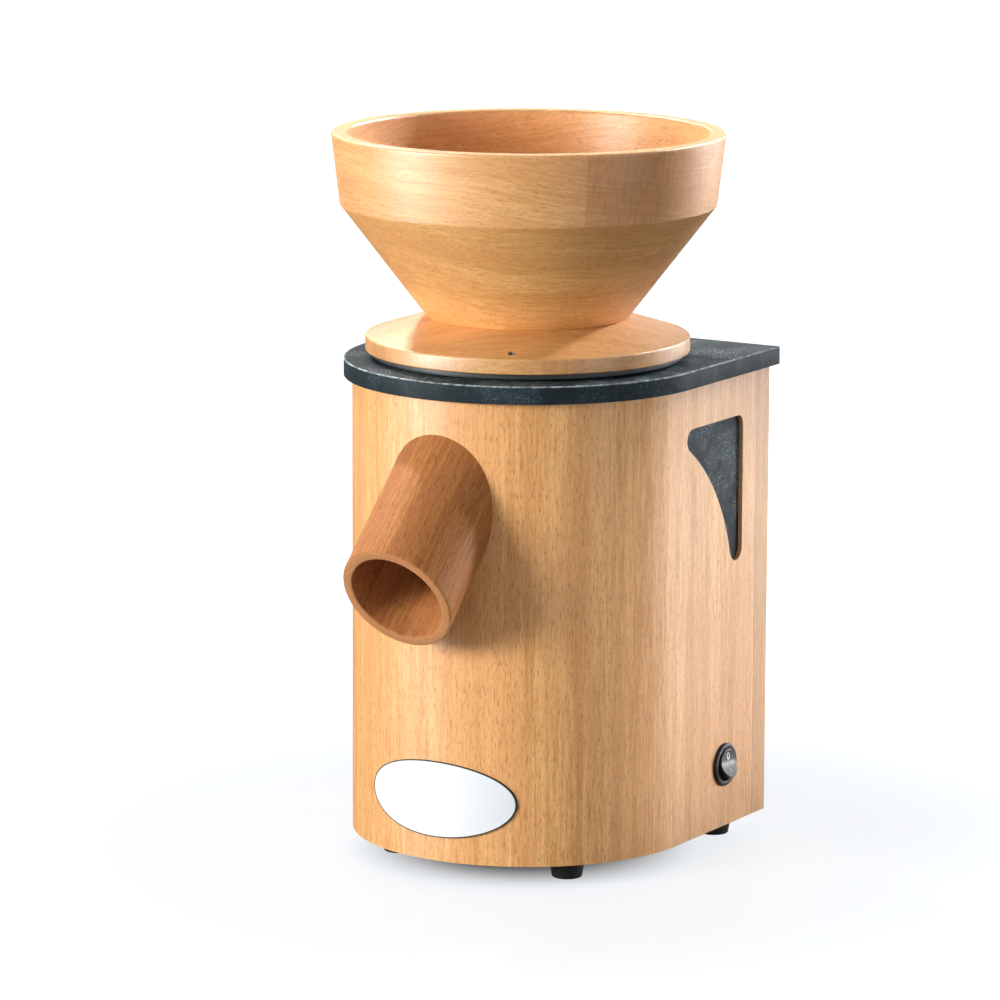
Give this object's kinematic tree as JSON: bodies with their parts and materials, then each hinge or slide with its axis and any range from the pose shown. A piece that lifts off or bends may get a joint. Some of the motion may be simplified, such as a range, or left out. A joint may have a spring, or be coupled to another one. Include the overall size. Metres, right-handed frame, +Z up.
{
  "type": "electric grain mill",
  "caption": "Household electric grain mill: D-shaped beech housing on rubber feet, dark composite plate, turned wooden hopper that screws the upper millstone up and down, slanted spout",
  "frame": {"origin": "on the standing surface, at the middle of the object's footprint box; the milling axis stands 23.65 mm behind it", "axes": "+Z up, -Y towards the spout, +X towards the side with the rocker switch"},
  "size_m": [0.2274, 0.2746, 0.4227],
  "materials": {
    "beech": "light oiled beech with short dark flecks",
    "beech_oiled": "redder, oiled beech",
    "composite": "dark slate-coloured pressed composite, satin",
    "black_plastic": "matt black moulded plastic",
    "black_gloss": "glossy black moulded plastic",
    "rubber": "matt black rubber",
    "steel": "plain zinc-plated steel",
    "cast_alloy": "die-cast, as cast",
    "laminate": "stacked electrical steel sheets",
    "copper": "enamelled copper wire",
    "corundum": "bonded corundum grit, rough",
    "felt": "pressed wool felt",
    "badge": "white oval plate, left bare",
    "capacitor_can": "pale plastic can"
  },
  "bodies": {
    "housing": {"housing_shell": "beech", "back_panel": "beech", "panel_dowels": "beech", "top_plate": "composite", "bottom_board": "beech_oiled", "tie_rods": "steel", "foot_front_left": "rubber", "foot_front_right": "rubber", "foot_rear_left": "rubber", "foot_rear_right": "rubber", "foot_screws": "steel", "spout": "beech_oiled", "spout_seal": "felt", "badge_plate": "badge", "inlay_right": "composite", "inlay_left": "composite", "inlay_screws": "steel", "milling_chamber": "cast_alloy", "chamber_screws": "steel", "guide_pins": "steel", "carrier_springs": "steel", "shaft_seal": "rubber", "motor_top_shield": "cast_alloy", "motor_bottom_shield": "cast_alloy", "motor_screws": "steel", "stator_core": "laminate", "stator_windings": "copper", "stator_bolts": "steel", "upper_bearing": "steel", "lower_bearing": "steel", "capacitor": "capacitor_can", "capacitor_clip": "black_plastic", "switch_body": "black_gloss", "switch_terminals": "steel", "motor_lead": "black_plastic", "cable_bushing": "black_plastic"},
    "rotor": {"motor_shaft": "steel", "rotor_core": "laminate", "cooling_fan": "black_plastic", "stone_hub": "cast_alloy", "lower_stone": "corundum", "hub_nut": "steel"},
    "carrier": {"stone_carrier": "cast_alloy", "upper_stone": "corundum", "stone_screws": "steel"},
    "hopper": {"hopper_bowl": "beech", "hopper_band": "beech", "hopper_base": "beech", "adjusting_collar": "black_plastic", "collar_screws": "steel"},
    "rocker": {"switch_rocker": "black_gloss"}
  },
  "joints": [
    {"name": "motor_spin", "type": "hinge", "parent": "housing", "child": "rotor", "pos_m": [0, 0.02365, 0.15], "axis": [0, 0, 1], "continuous": true},
    {"name": "stone_lift", "type": "slide", "parent": "housing", "child": "carrier", "axis": [0, 0, 1], "range_m": [0, 0.0025], "deforming": ["carrier_springs"]},
    {"name": "hopper_turn", "type": "hinge", "parent": "carrier", "child": "hopper", "pos_m": [0, 0.02365, 0.29], "axis": [0, 0, 1], "range_deg": [0, 330]},
    {"name": "switch_rock", "type": "hinge", "parent": "housing", "child": "rocker", "pos_m": [0.10049, 0.07995, 0.0502], "axis": [0, 1, 0], "range_deg": [0, 28]}
  ],
  "couplings": [
    {"joint": "stone_lift", "follows": "hopper_turn", "m_per_rad": 0.00039789}
  ]
}
